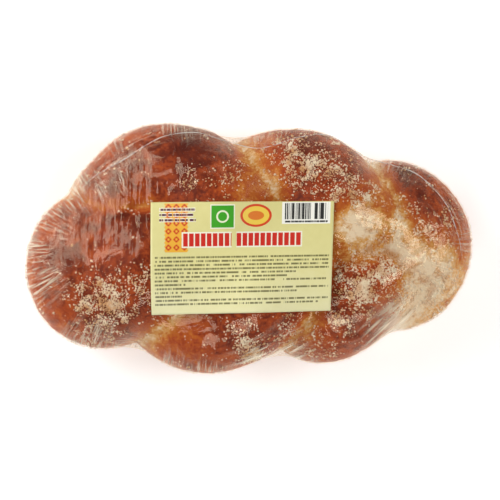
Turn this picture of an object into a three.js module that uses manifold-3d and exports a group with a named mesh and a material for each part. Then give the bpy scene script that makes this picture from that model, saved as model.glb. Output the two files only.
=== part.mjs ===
// A braided loaf of sweet bread, wrapped in clear shrink film, with a paper label lying on top.
// Millimetres, +Z up. The origin is the middle of the underside, and +X runs along the plait to its
// narrower end.

import * as THREE from 'three';
import { mergeVertices } from 'three/addons/utils/BufferGeometryUtils.js';
import Module from 'manifold-3d';

const wasm = await Module();
wasm.setup();

// The plait: three strands of dough, each weaving from side to side over its neighbours. A stop on
// a strand is the place of its middle line, [along, across, above the base], then [half its width,
// half its height] there.
const STRANDS = {
  first: [
    [-106, 18, 24, 22, 20],
    [-82, 31, 29, 28, 26],
    [-58, 40, 32, 32, 28],
    [-34, 37, 38, 33, 28],
    [-12, 19, 46, 33, 28],
    [6, 0, 38, 32, 26],
    [24, -22, 28, 31, 26],
    [42, -36, 31, 32, 28],
    [64, -25, 43, 31, 26],
    [82, -10, 39, 27, 25],
    [97, 0, 28, 18, 18],
  ],
  second: [
    [-104, 8, 24, 26, 22],
    [-80, 2, 27, 30, 24],
    [-56, -20, 27, 31, 26],
    [-36, -38, 30, 33, 29],
    [-14, -39, 36, 33, 29],
    [8, -23, 46, 33, 28],
    [34, 0, 40, 32, 26],
    [56, 16, 29, 32, 26],
    [80, 20, 31, 32, 28],
    [104, 8, 28, 28, 25],
  ],
  third: [
    [-122, -8, 26, 30, 22],
    [-101, -10, 30, 43, 28],
    [-79, -14, 35, 45, 29],
    [-56, -11, 45, 36, 28],
    [-34, 5, 40, 32, 26],
    [-8, 24, 28, 31, 26],
    [14, 36, 31, 32, 28],
    [36, 34, 38, 33, 29],
    [56, 17, 45, 33, 28],
    [76, 1, 37, 29, 25],
    [96, -6, 26, 20, 20],
  ],
};
const STRAND_SIDES = 18;
const STRAND_RINGS = 48;
const TIP_BLUNTNESS = 5; // higher makes a strand's tips blunter

// At each end the strands are gathered and tucked under, which makes a round knob. In the middle
// the dough has grown together and gives the loaf its broad flat underside. Each is a flattened
// ball: its middle, then its full sizes.
const KNOBS = [
  { middle: [-84.5, -12, 29], size: [93, 95, 60] },
  { middle: [83, 1, 29], size: [96, 100, 58] },
  { middle: [-4, 0, 22], size: [232, 112, 60] },
];
const KNOB_SIDES = 28;
const KNOB_RINGS = 18;

// The wrap: real film is 0.03 mm thick and lies on the crust.
const FILM_THICKNESS = 0.4;
const FILM_CLEARANCE = 1.9; // between the crust and the film, so that flat facets never touch
const FILM_BASE_GAP = 0.3; // between the flat base and the film under it
const FILM_SLICES = 46;
const FILM_RINGS = 32;
const FILM_PULL = 24; // how many times the film is let shrink over the notches
const SPINE_SHARE = 0.62; // the film is measured outwards from a spine this share of the loaf's length
const SPINE_Z = 27;
const VENT_RADIUS = 3;
const VENT_X = 62;

// The label.
const LABEL_LENGTH = 105;
const LABEL_WIDTH = 64;
const LABEL_THICKNESS = 0.25;
const LABEL_GAP = 0.6; // above the film, so that flat facets never touch
const LABEL_X = -4.2;
const LABEL_Y = -5;
const LABEL_COLUMNS = 16;
const LABEL_ROWS = 10;

const BASE_Z = FILM_THICKNESS + FILM_BASE_GAP;
const BIG = 400;

const crust = new THREE.MeshStandardMaterial({ color: 0x9a4a1c, roughness: 0.4, metalness: 0 });
const clearFilm = new THREE.MeshStandardMaterial({
  color: 0xf2efe8,
  roughness: 0.12,
  metalness: 0,
  transparent: true,
  opacity: 0.2,
});
const labelPaper = new THREE.MeshStandardMaterial({ color: 0xe6df9c, roughness: 0.65, metalness: 0 });

// A three.js geometry as a manifold-3d solid, and back.
function solidOf(geometry) {
  const bare = geometry.index ? geometry.toNonIndexed() : geometry.clone();
  bare.deleteAttribute('normal');
  bare.deleteAttribute('uv');
  const merged = mergeVertices(bare, 1e-4);
  return new wasm.Manifold(new wasm.Mesh({
    numProp: 3,
    vertProperties: Float32Array.from(merged.attributes.position.array),
    triVerts: Uint32Array.from(merged.index.array),
  }));
}

function geometryOf(solid) {
  const mesh = solid.getMesh();
  const geometry = new THREE.BufferGeometry();
  geometry.setAttribute('position', new THREE.BufferAttribute(mesh.vertProperties, 3));
  geometry.setIndex(new THREE.BufferAttribute(mesh.triVerts, 1));
  geometry.computeVertexNormals();
  return geometry;
}

// A sphere's rings are laid along the strand's middle line, so its poles become the round tips.
function strandGeometry(stops) {
  const middles = stops.map(([x, y, height]) => new THREE.Vector3(x, y, height + BASE_Z));
  const middleLine = new THREE.CatmullRomCurve3(middles);
  const halfSizes = new THREE.SplineCurve(stops.map((stop) => new THREE.Vector2(stop[3], stop[4])));
  const geometry = new THREE.SphereGeometry(1, STRAND_SIDES, STRAND_RINGS);
  const positions = geometry.attributes.position;
  const up = new THREE.Vector3(0, 0, 1);
  for (let i = 0; i < positions.count; i += 1) {
    const onSphere = new THREE.Vector3().fromBufferAttribute(positions, i);
    const share = Math.acos(THREE.MathUtils.clamp(onSphere.y, -1, 1)) / Math.PI;
    const point = middleLine.getPoint(share);
    const ahead = middleLine.getTangent(share);
    const side = new THREE.Vector3().crossVectors(up, ahead).normalize();
    const lift = new THREE.Vector3().crossVectors(ahead, side);
    const roundTip = Math.sqrt(1 - Math.abs(2 * share - 1) ** TIP_BLUNTNESS);
    const halfSize = halfSizes.getPoint(share).multiplyScalar(roundTip);
    const ring = Math.hypot(onSphere.x, onSphere.z) || 1;
    point.addScaledVector(side, (onSphere.x / ring) * halfSize.x);
    point.addScaledVector(lift, (onSphere.z / ring) * halfSize.y);
    positions.setXYZ(i, point.x, point.y, point.z);
  }
  return geometry;
}

function knobGeometry({ middle, size }) {
  const geometry = new THREE.SphereGeometry(0.5, KNOB_SIDES, KNOB_RINGS);
  geometry.rotateX(Math.PI / 2);
  geometry.scale(...size);
  geometry.translate(middle[0], middle[1], middle[2] + BASE_Z);
  return geometry;
}

// A block that keeps only what is above the given height.
function above(height) {
  const block = new THREE.BoxGeometry(BIG, BIG, BIG);
  block.translate(0, 0, height + BIG / 2);
  return solidOf(block);
}

function makeLoaf() {
  const strands = Object.values(STRANDS).map((stops) => solidOf(strandGeometry(stops)));
  const knobs = KNOBS.map((knob) => solidOf(knobGeometry(knob)));
  return [...strands, ...knobs].reduce((joined, piece) => joined.add(piece)).intersect(above(BASE_Z));
}

// How far the loaf reaches from its spine, row by row and slice by slice around it.
function filmRays(loaf) {
  const probe = new THREE.SphereGeometry(1, FILM_SLICES, FILM_RINGS).rotateZ(Math.PI / 2);
  const box = new THREE.Box3().setFromObject(loaf);
  const half = box.getSize(new THREE.Vector3()).divideScalar(2);
  const middle = box.getCenter(new THREE.Vector3());
  const caster = new THREE.Raycaster();
  const rays = [];
  for (let i = 0; i < probe.attributes.position.count; i += 1) {
    const onSphere = new THREE.Vector3().fromBufferAttribute(probe.attributes.position, i);
    const aim = onSphere.multiply(half);
    const start = new THREE.Vector3(middle.x + aim.x * SPINE_SHARE, middle.y, SPINE_Z);
    const away = new THREE.Vector3(aim.x * (1 - SPINE_SHARE), aim.y, aim.z).normalize();
    caster.set(start.clone().addScaledVector(away, BIG), away.clone().negate());
    const hit = caster.intersectObject(loaf)[0];
    rays.push({ start, away, crust: BIG - hit.distance });
  }
  return { probe, rays };
}

// The film shrinks like a tight skin: each place moves to the middle of its neighbours, but never
// into the crust.
function shrinkFilm(rays) {
  const columns = FILM_SLICES + 1;
  const place = (row, column) => rays[row * columns + ((column + FILM_SLICES) % FILM_SLICES)].place;
  const settle = (ray, reach) => {
    ray.reach = Math.max(ray.crust, reach);
    ray.place = ray.start.clone().addScaledVector(ray.away, ray.reach);
  };
  rays.forEach((ray) => settle(ray, 0));
  for (let round = 0; round < FILM_PULL; round += 1) {
    const pulled = rays.map((ray, index) => {
      const row = Math.floor(index / columns);
      const column = index % columns;
      if (row === 0 || row === FILM_RINGS) {
        return ray.crust;
      }
      const middle = place(row, column - 1).clone().add(place(row, column + 1));
      middle.add(place(row - 1, column)).add(place(row + 1, column)).divideScalar(4);
      return middle.sub(ray.start).dot(ray.away);
    });
    rays.forEach((ray, index) => settle(ray, pulled[index]));
  }
}

function filmSkin(probe, rays, clearance) {
  const skin = probe.clone();
  const columns = FILM_SLICES + 1;
  rays.forEach((ray, index) => {
    const first = index - (index % columns);
    const onPole = first === 0 || first === FILM_RINGS * columns;
    const onWeld = index % columns === FILM_SLICES;
    const twin = onPole || onWeld ? rays[first] : ray;
    const point = twin.start.clone().addScaledVector(twin.away, twin.reach + clearance);
    skin.attributes.position.setXYZ(index, point.x, point.y, point.z);
  });
  return solidOf(skin);
}

function makeFilm(loaf) {
  const { probe, rays } = filmRays(loaf);
  shrinkFilm(rays);
  const outside = filmSkin(probe, rays, FILM_CLEARANCE + FILM_THICKNESS).intersect(above(0));
  const inside = filmSkin(probe, rays, FILM_CLEARANCE).intersect(above(FILM_THICKNESS));
  const vent = new THREE.CylinderGeometry(VENT_RADIUS, VENT_RADIUS, 2 * BASE_Z, 24).rotateX(Math.PI / 2);
  vent.translate(VENT_X, 0, 0);
  return outside.subtract(inside).subtract(solidOf(vent));
}

// The label is a flat sheet let down on the film from above. It is too stiff to dip into small
// hollows, so each place rests on the highest film within half a step of it.
function labelGeometry(film) {
  const sheet = new THREE.BoxGeometry(
    LABEL_LENGTH,
    LABEL_WIDTH,
    LABEL_THICKNESS,
    LABEL_COLUMNS,
    LABEL_ROWS,
    1,
  );
  sheet.translate(LABEL_X, LABEL_Y, LABEL_THICKNESS / 2);
  const down = new THREE.Vector3(0, 0, -1);
  const caster = new THREE.Raycaster();
  const filmHeight = (x, y) => {
    caster.set(new THREE.Vector3(x, y, BIG), down);
    return caster.intersectObject(film)[0].point.z;
  };
  const stepX = LABEL_LENGTH / LABEL_COLUMNS / 2;
  const stepY = LABEL_WIDTH / LABEL_ROWS / 2;
  const positions = sheet.attributes.position;
  for (let i = 0; i < positions.count; i += 1) {
    const point = new THREE.Vector3().fromBufferAttribute(positions, i);
    const heights = [-1, 0, 1].flatMap((across) => (
      [-1, 0, 1].map((along) => filmHeight(point.x + along * stepX, point.y + across * stepY))
    ));
    positions.setZ(i, Math.max(...heights) + LABEL_GAP + point.z);
  }
  return sheet;
}

function named(name, geometry, material) {
  const mesh = new THREE.Mesh(geometry, material);
  mesh.name = name;
  mesh.updateMatrixWorld();
  return mesh;
}

const loaf = named('braided_loaf', geometryOf(makeLoaf()), crust);
const film = named('shrink_film', geometryOf(makeFilm(loaf)), clearFilm);
const label = named('label', geometryOf(solidOf(labelGeometry(film))), labelPaper);

const part = new THREE.Group();
part.add(loaf, film, label);

// The origin is the middle of the whole part's underside.
const whole = new THREE.Box3().setFromObject(part);
const centre = whole.getCenter(new THREE.Vector3());
part.position.set(-centre.x, -centre.y, -whole.min.z);

export default part;
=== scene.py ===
"""A braided loaf of sweet bread in clear shrink film, with a paper label on top.

Laid out as an add-on and run as a script. Lengths are in metres, +Z up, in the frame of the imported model.
"""

import math

import bmesh
import bpy
import numpy as np
from mathutils import Matrix, Vector, noise
from mathutils.bvhtree import BVHTree


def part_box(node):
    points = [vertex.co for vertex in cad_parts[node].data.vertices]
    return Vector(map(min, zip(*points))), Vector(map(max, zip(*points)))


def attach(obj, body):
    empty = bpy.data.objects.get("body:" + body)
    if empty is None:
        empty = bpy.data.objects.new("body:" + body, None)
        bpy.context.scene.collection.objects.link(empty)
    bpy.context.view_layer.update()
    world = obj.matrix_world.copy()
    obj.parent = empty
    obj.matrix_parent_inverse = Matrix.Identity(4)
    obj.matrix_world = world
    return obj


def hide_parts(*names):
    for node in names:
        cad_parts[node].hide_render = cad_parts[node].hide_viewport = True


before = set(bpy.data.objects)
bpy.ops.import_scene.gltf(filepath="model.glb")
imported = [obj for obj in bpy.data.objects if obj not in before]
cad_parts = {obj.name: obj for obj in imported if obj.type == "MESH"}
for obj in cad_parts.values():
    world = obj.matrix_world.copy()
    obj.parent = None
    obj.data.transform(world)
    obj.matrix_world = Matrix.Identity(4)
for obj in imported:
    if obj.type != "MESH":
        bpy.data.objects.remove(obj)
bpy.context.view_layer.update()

bl_info = {
    "name": "Braided loaf",
    "version": (1, 0, 0),
    "blender": (4, 5, 0),
    "location": "View3D > Sidebar > Loaf",
    "description": "Builds a braided loaf with its crumb topping, shrink film and label",
    "category": "Add Mesh",
}

LOAF_BOX = [Vector(corner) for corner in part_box("braided_loaf")]
MM = 0.001
RNG_SEED = 11

# The strands' middle lines and half sizes, in millimetres: [along, across, above the base, half width,
# half height].
STRANDS = {
    "first": [
        [-106, 18, 24, 22, 20],
        [-82, 31, 29, 28, 26],
        [-58, 40, 32, 32, 28],
        [-34, 37, 38, 33, 28],
        [-12, 19, 46, 33, 28],
        [6, 0, 38, 32, 26],
        [24, -22, 28, 31, 26],
        [42, -36, 31, 32, 28],
        [64, -25, 43, 31, 26],
        [82, -10, 39, 27, 25],
        [97, 0, 28, 18, 18],
    ],
    "second": [
        [-104, 8, 24, 26, 22],
        [-80, 2, 27, 30, 24],
        [-56, -20, 27, 31, 26],
        [-36, -38, 30, 33, 29],
        [-14, -39, 36, 33, 29],
        [8, -23, 46, 33, 28],
        [34, 0, 40, 32, 26],
        [56, 16, 29, 32, 26],
        [80, 20, 31, 32, 28],
        [104, 8, 28, 28, 25],
    ],
    "third": [
        [-122, -8, 26, 30, 22],
        [-101, -10, 30, 43, 28],
        [-79, -14, 35, 45, 29],
        [-56, -11, 45, 36, 28],
        [-34, 5, 40, 32, 26],
        [-8, 24, 28, 31, 26],
        [14, 36, 31, 32, 28],
        [36, 34, 38, 33, 29],
        [56, 17, 45, 33, 28],
        [76, 1, 37, 29, 25],
        [96, -6, 26, 20, 20],
    ],
}
# The round knobs where the strands are gathered at each end, and the dough grown together in the middle:
# the strand each belongs to, its middle and its full sizes.
KNOBS = [
    ("third", (-84.5, -12, 29), (93, 95, 60)),
    ("second", (83, 1, 29), (96, 100, 58)),
    ("heart", (-4, 0, 22), (232, 112, 60)),
]
TIP_BLUNTNESS = 5
# Shares of a strand's length: its outermost ring, and the step that tells which way it runs.
TIP_SHARE = 1e-4
SPLINE_STEP = 1e-3
# How fast the noise's finer layers fade, and how much finer each is.
NOISE_FALL = 0.9
NOISE_STEP = 2.1
# Stations along a strand at which its nearness is measured, and how far its tips are left out.
STRAND_STATIONS = 140
TIP_LEFT_OUT = 0.02
# Lengths that keep a division by nothing away.
NO_LENGTH = 1e-12
NO_RADIUS = 1e-9
# A place inside a strand counts as nearer by this share, and a knob's middle as lower by this share.
INSIDE_SHARE = 0.6
KNOB_LOWNESS = 0.8

# Where the topping was strewn: [along, across, reach, how thick].
CRUMB_PATCHES = [
    [-84, -33, 15, 0.8],
    [-98, -24, 9, 0.45],
    [-60, -22, 13, 0.3],
    [-6, -47, 9, 0.25],
    [1, -59, 8, 0.7],
    [24, -50, 9, 0.25],
    [42, -55, 9, 0.45],
    [56, -40, 9, 0.35],
    [66, -20, 16, 0.9],
    [80, -8, 14, 0.9],
    [84, -28, 11, 0.6],
    [37, 44, 20, 0.36],
    [24, 54, 12, 0.35],
    [52, 34, 13, 0.5],
    [62, 26, 11, 0.6],
    [-11, 40, 8, 0.35],
    [-33, 39, 6, 0.3],
    [-53, 60, 5, 0.15],
    [-60, 52, 5, 0.15],
    [92, 24, 11, 0.2],
    [106, 10, 12, 0.6],
    [106, -18, 14, 0.65],
]
# The crust's colour runs from pale to burnt through these stops; blotches and pores shift it this much.
BROWNING_STOPS = (0.0, 0.22, 0.40, 0.60, 0.82, 1.0)
BLOTCH_STRENGTH = 0.8
PORE_STRENGTH = 0.62
# Dust shows where its grains rise over this level, which the topping lowers by the gain.
DUST_LEVEL = 0.82
DUST_GAIN = 0.28
# Sizes of the loaf's bulges, folds and wrinkles, of the crumbs' clumps and of the browning's mottle.
BULGE_SIZE = 42 * MM
FOLD_SIZE = 7 * MM
FOLD_HEIGHT = 0.3 * MM
WRINKLE_SIZE = 2.6 * MM
CLUMP_SIZE = 7 * MM
CLUMP_SEED = 5.0
MOTTLE_SIZE = 26 * MM
# How brown the crust is by itself, what height and mottle add, and what grooves, stretching and base take.
BROWNING_START = 0.50
BROWNING_BY_HEIGHT = 0.22
BROWNING_BY_MOTTLE = 0.07
PALE_BY_GROOVE = 0.28
PALE_BY_STRETCH = 0.20
PALE_BY_BASE = 0.14
# Over what share of the height the crust browns and the spots show, how wide the grooves and the stretched
# dough are, how far under another strand it comes out, and how high the base's pale edge reaches.
BROWNING_RISE = (0.2, 0.9)
SPOT_RISE = (0.1, 0.5)
GROOVE_WIDTH = (0.0, 11 * MM)
STRETCH_WIDTH = (3 * MM, 30 * MM)
STRETCH_DEPTH = (1 * MM, 14 * MM)
BASE_EDGE = (1 * MM, 9 * MM)
# Where the crust caught most heat, and where it stayed pale: [along, across, reach, how much].
BROWNING_SPOTS = [
    [-32, 61, 14, 0.25],
    [-18, 47, 14, 0.08],
    [-72, 29, 20, 0.18],
    [-110, -3, 9, 0.14],
    [90, 42, 13, 0.34],
    [100, 28, 13, 0.18],
    [-98, 22, 12, 0.12],
    [-78, -46, 15, 0.10],
    [30, 60, 16, 0.12],
    [102, -30, 27, -0.44],
    [116, -14, 18, -0.25],
    [0, 36, 17, -0.32],
    [9, 46, 7, 0.16],
    [59, 11, 14, -0.62],
    [72, 16, 15, -0.42],
    [74, 37, 7, -0.25],
    [70, 49, 6, -0.22],
    [92, 2, 12, -0.20],
    [109, -35, 12, 0.15],
    [84, 4, 7, 0.12],
]
# The film's rays start in an oval core (half length, half width, height) and reach about this far sideways.
FILM_CORE = (95 * MM, 36 * MM, 28 * MM)
FILM_REACH = 38 * MM
# Shares of the film's rows that lie on top and underneath; the rest go round the side.
FILM_TOP_SHARE = 0.26
FILM_UNDER_SHARE = 0.06
FILM_FLOOR_GAP = 0.2 * MM
# How far outside the loaf, and how high above the floor, the rays start that are cast at it.
FAR = 0.3
ABOVE = 0.2
# Steps of the measured outline, columns of the film to one of its coarse net, rounds of pulling it tight as a
# fine one, and rounds of easing the crust under it.
OUTLINE_STEPS = 7200
COARSE_STEP = 8
FINE_ROUNDS = 50
CLING_ROUNDS = 16
# Pleats: their spacing, the height over which they change, how far over the film's widest line they reach,
# where they start below it, and how sharp, strong and uneven they are.
PLEAT_SPACING = 3.1 * MM
PLEAT_LENGTH = 30 * MM
PLEAT_TOP = 36 * MM
PLEAT_FOOT = (-34 * MM, -6 * MM)
PLEAT_SHARPNESS = 3.2
PLEAT_STRENGTH = 0.33
PLEAT_UNEVENNESS = 0.45
# Strain lines lie round this height over the film's widest line, and fade out this far from it.
STREAK_HEIGHT = 18 * MM
STREAK_FADE = (6 * MM, 22 * MM)
# Where the film puckered most, and where the painted glints on its gathers show most: [share of the way round
# from the right end, share wide, how much].
PLEAT_PATCHES = [
    [0.50, 0.08, 0.9],
    [0.60, 0.05, 0.75],
    [0.42, 0.05, 0.65],
    [0.35, 0.05, 0.5],
    [0.29, 0.03, 0.35],
    [0.69, 0.04, 0.25],
    [0.93, 0.02, 0.40],
    [0.00, 0.05, 0.35],
    [0.14, 0.03, 0.20],
    [0.20, 0.03, 0.20],
]
# Where the film's strain lines run along the rim instead of up it, beside the notches.
STREAK_PATCHES = [
    [0.36, 0.05, 0.6],
    [0.63, 0.02, 0.4],
    [0.24, 0.02, 0.25],
    [0.03, 0.045, 0.45],
]
# Stretch lines sweep over the front notches in wide arcs about this place, in millimetres, and show in these
# patches: [along, across, reach, how much].
ARC_MIDDLE = (-83, 131)
STRETCH_PATCHES = [
    [6, -66, 13, 1.2],
    [22, -58, 11, 1.1],
    [78, -50, 12, 1.0],
    [89, -36, 10, 0.7],
]
# Where the stretched film turned milky, mostly across the notches: [along, across, reach, how much].
MILKY_PATCHES = [
    [26, -64, 8, 0.5],
    [83, -43, 10, 0.95],
    [-101, 38, 8, 0.6],
    [-10, 64, 8, 0.45],
    [70, 52, 8, 0.45],
    [-66, -56, 8, 0.45],
]
# Where the film lies in slack folds: [along, across, reach, how much].
SLACK_PATCHES = [
    [-70, 30, 13, 1.0],
    [-82, 18, 12, 0.9],
    [-100, 2, 14, 0.8],
    [-92, -14, 12, 0.9],
    [-66, 10, 12, 0.8],
    [96, 22, 14, 0.5],
    [-30, 40, 12, 0.3],
]
# The share that the film mirrors head on and at a glance, how milky it is everywhere, on crests and in mist,
# and how much it is gathered away from the pleats.
MIRROR_HEAD_ON = 0.036
MIRROR_AT_GLANCE = 0.9
MILK_EVERYWHERE = 0.008
CREST_MILK = 0.10
MIST_MILK = 0.9
GATHER_EVERYWHERE = 0.06
SEAM_STEPS = 400
SEAM_FLATNESS = 0.5
# The weld seam's route over the film, in millimetres: [along, across].
SEAM_ROUTE = [
    [-97, 36],
    [-88.6, 43.1],
    [-72.3, 51.9],
    [-63.5, 57.7],
    [-49.0, 65.3],
    [-31.5, 67.6],
    [-19.8, 64.7],
    [0.6, 58.9],
    [12.2, 59.5],
    [30, 65],
    [47.2, 66.0],
    [64.7, 54.8],
    [84, 49],
    [96.8, 44.4],
    [106.7, 36.2],
    [115.4, 25.2],
    [119.8, 14],
    [122.6, 5],
    [124.2, -5],
]
# Lamps: name, place, width, height, power in watts.
LAMPS = (
    ("left_softbox", (-0.95, 0.42, 0.62), 1.12, 0.78, 13.0),
    ("right_softbox", (1.0, 0.1, 1.0), 0.7, 0.7, 8.6),
    ("front_softbox", (-0.2, -1.1, 1.0), 0.7, 0.52, 5.6),
    ("back_softbox", (0.3, 1.1, 1.0), 0.7, 0.5, 1.1),
)
# The tent's brightness from the table's level to straight above.
TENT_STOPS = ((0.0, 0.85), (0.1, 0.7), (0.25, 0.27), (0.6, 0.06), (1.0, 0.02))
# The floor's half side, the place that the lamps aim at, and the camera's place over the loaf.
FLOOR_HALF = 2.5
LAMP_AIM = (0, 0, 0.03)
CAMERA_PLACE = (0.0006, -0.0006)
# The view's width is measured this far below half the loaf's height.
VIEW_DROP = 8 * MM
NEAREST_SEEN = 0.05
# The label's corners on the loaf, and its size, in millimetres.
LABEL_CORNERS = {
    "top_left": (-56.5, 26.8),
    "top_right": (48.8, 27.4),
    "bottom_right": (46.8, -35.4),
    "bottom_left": (-56.0, -38.0),
}
LABEL_SIZE = (105.0, 64.0)
# How much the fibres cloud the paper.
FIBRE_STRENGTH = 0.4
# The small print in millimetres on the label: its sides, its top and pitch, and where the short rows end.
TEXT_SIDES = (2.3, 103.0)
TEXT_TOP = 30.6
TEXT_PITCH = 2.22
TEXT_ROWS = 13
SHORT_LINES = [(4, 84), (5, 79), (7, 20), (9, 85), (10, 18), (12, 98)]
# The ribbon in millimetres on the label: its middle, half width, ends and notches, and its lozenges' cells.
RIBBON_MIDDLE = 14.8
RIBBON_HALF = 6.2
RIBBON_ENDS = (0.8, 28.6)
RIBBON_NOTCH = 1.1
RIBBON_CELL = 4.6
RIBBON_CELL_ACROSS = 8.0
RIBBON_CELL_DOWN = 0.6
RIBBON_STEP = 0.125
NOTE_BOX = (5.0, 26.0, 3.0, 12.0)
STRIPE_PITCH = 0.36
BLOCK_PITCH = 3.42
# Steps of the label's mesh, rounds of easing it flat, and how far it may stand over the film.
LABEL_STEPS = (84, 52)
LABEL_ROUNDS = 500
LABEL_STANDOFF = 2.5 * MM
# Crumbs in a usual cluster and in the largest, their spread in crumb sizes, how far clusters keep to clumps,
# and the chance of a stray one.
CLUSTER_CRUMBS = 3.125
CLUSTER_MOST = 12
CLUSTER_SPREAD = 3.3
CLUMP_CONTRAST = 2.6
STRAY_CHANCE = 0.009
# How unevenly crumbs are sized and their limits, how high they sit, and how they are stretched and misshapen,
# all in crumb sizes.
CRUMB_SPREAD = 0.42
CRUMB_LIMITS = (0.45, 2.2)
CRUMB_SEAT = (-0.1, 0.6)
CRUMB_STRETCH = (0.7, 1.3)
CRUMB_JAGS = (0.6, 1.4)
# Crumbs are joined in batches, because a small bmesh grows faster than a large one.
CRUMB_BATCH = 60
# The most crumbs in one piece of topping, and how many pieces there are.
HEAP_CRUMBS = 9800
HEAPS = 2


def linear(hex_colour, alpha=1.0):
    """An sRGB hex colour as the linear values that Blender's sockets hold."""
    shares = [int(hex_colour[i:i + 2], 16) / 255 for i in (1, 3, 5)]
    values = [s / 12.92 if s <= 0.04045 else ((s + 0.055) / 1.055) ** 2.4 for s in shares]
    return (*values, alpha)


def smooth_step(low, high, value):
    """0 below low, 1 above high, and smoothly between them."""
    share = np.clip((value - low) / (high - low), 0.0, 1.0)
    return share * share * (3 - 2 * share)


# ---------------------------------------------------------------- settings


class LoafSettings(bpy.types.PropertyGroup):
    voxel: bpy.props.FloatProperty(
        name="Crust mesh size", description="Side of one crust face", default=1.25 * MM, min=0.8 * MM,
        unit="LENGTH",
    )
    groove_softness: bpy.props.IntProperty(
        name="Groove softness", description="How far the strands have grown into each other", default=9, min=0
    )
    lumpiness: bpy.props.FloatProperty(
        name="Lumpiness", description="Height of the dough's broad bulges", default=1.3 * MM, unit="LENGTH"
    )
    leather: bpy.props.FloatProperty(
        name="Leathery skin", description="Height of the crust's small wrinkles", default=0.22 * MM,
        unit="LENGTH",
    )
    crumbs: bpy.props.IntProperty(
        name="Crumb clusters", description="How many clusters stick to the crust", default=4900, min=0
    )
    crumb_size: bpy.props.FloatProperty(
        name="Crumb size", description="Half the width of a usual crumb", default=0.33 * MM, unit="LENGTH"
    )


class CrustColours(bpy.types.PropertyGroup):
    burnt: bpy.props.StringProperty(name="Darkest crown", description="sRGB hex colour", default="#541304")
    crown: bpy.props.StringProperty(name="Crown", description="sRGB hex colour", default="#702308")
    crust: bpy.props.StringProperty(name="Crust", description="sRGB hex colour", default="#ab4518")
    amber: bpy.props.StringProperty(name="Amber flank", description="sRGB hex colour", default="#c0661f")
    golden: bpy.props.StringProperty(name="Golden groove", description="sRGB hex colour", default="#d79c50")
    pale: bpy.props.StringProperty(name="Stretched dough", description="sRGB hex colour", default="#f2dab6")
    crumb: bpy.props.StringProperty(name="Crumb", description="sRGB hex colour", default="#f6e4c6")
    toasted: bpy.props.StringProperty(name="Toasted crumb", description="sRGB hex colour", default="#d9a46e")


class FilmSettings(bpy.types.PropertyGroup):
    columns: bpy.props.IntProperty(
        name="Steps round", description="Steps of the film's mesh round the loaf", default=1392, min=64
    )
    rows: bpy.props.IntProperty(
        name="Steps up", description="Steps of the film's mesh from underside to top", default=70, min=16
    )
    clearance: bpy.props.FloatProperty(
        name="Stand-off", description="Film's height above the crust, over the crumbs", default=1.1 * MM,
        unit="LENGTH",
    )
    pull: bpy.props.IntProperty(
        name="Pull", description="How far the film has shrunk tight across the notches", default=160, min=0
    )
    pleat_height: bpy.props.FloatProperty(
        name="Pleat height", description="Height of a usual pleat", default=0.5 * MM, unit="LENGTH"
    )
    seam_width: bpy.props.FloatProperty(
        name="Weld width", description="Width of the weld seam's bead", default=0.55 * MM, unit="LENGTH"
    )


class LabelSettings(bpy.types.PropertyGroup):
    thickness: bpy.props.FloatProperty(
        name="Thickness", description="Thickness of the label paper", default=0.12 * MM, unit="LENGTH"
    )
    lift: bpy.props.FloatProperty(
        name="Lift", description="Height of the label above the film", default=0.15 * MM, unit="LENGTH"
    )


class StageSettings(bpy.types.PropertyGroup):
    camera_height: bpy.props.FloatProperty(
        name="Camera height", description="Height of the camera above the floor", default=1.5, unit="LENGTH"
    )
    view_width: bpy.props.FloatProperty(
        name="View width", description="Width of the view, measured near half the loaf's height",
        default=0.29475, unit="LENGTH",
    )


# ---------------------------------------------------------------- nodes


# The math node and its usual settings.
MATH = "ShaderNodeMath"
ADD = {"operation": "ADD"}
SUBTRACT = {"operation": "SUBTRACT"}
MULTIPLY = {"operation": "MULTIPLY"}
MULTIPLY_ADD = {"operation": "MULTIPLY_ADD"}
DIVIDE = {"operation": "DIVIDE"}
LESS_THAN = {"operation": "LESS_THAN"}


def add_node(tree, kind, settings=None, inputs=()):
    """Adds one node, sets its properties, and gives its inputs, by name or in order, a value or a link.

    A node among the inputs stands for its first output.
    """
    node = tree.nodes.new(kind)
    for name, value in (settings or {}).items():
        setattr(node, name, value)
    for name, value in inputs.items() if isinstance(inputs, dict) else enumerate(inputs):
        if isinstance(value, bpy.types.Node):
            value = value.outputs[0]
        if isinstance(value, bpy.types.NodeSocket):
            tree.links.new(value, node.inputs[name])
        else:
            node.inputs[name].default_value = value
    return node


def new_material(name):
    material = bpy.data.materials.new(name)
    material.use_nodes = True
    material.node_tree.nodes.clear()
    return material, material.node_tree


def set_ramp(node, stops):
    """Fills a Color Ramp node from (place, colour) pairs."""
    elements = node.color_ramp.elements
    while len(elements) < len(stops):
        elements.new(0.5)
    for element, (place, colour) in zip(elements, stops):
        element.position = place
        element.color = colour


def ink(tree, ground, mask, colour):
    """The ground with a colour laid over it where the mask is 1."""
    layers = {0: mask, 6: ground, 7: linear(colour)}
    return add_node(tree, "ShaderNodeMix", {"data_type": "RGBA"}, layers).outputs[2]


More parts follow.
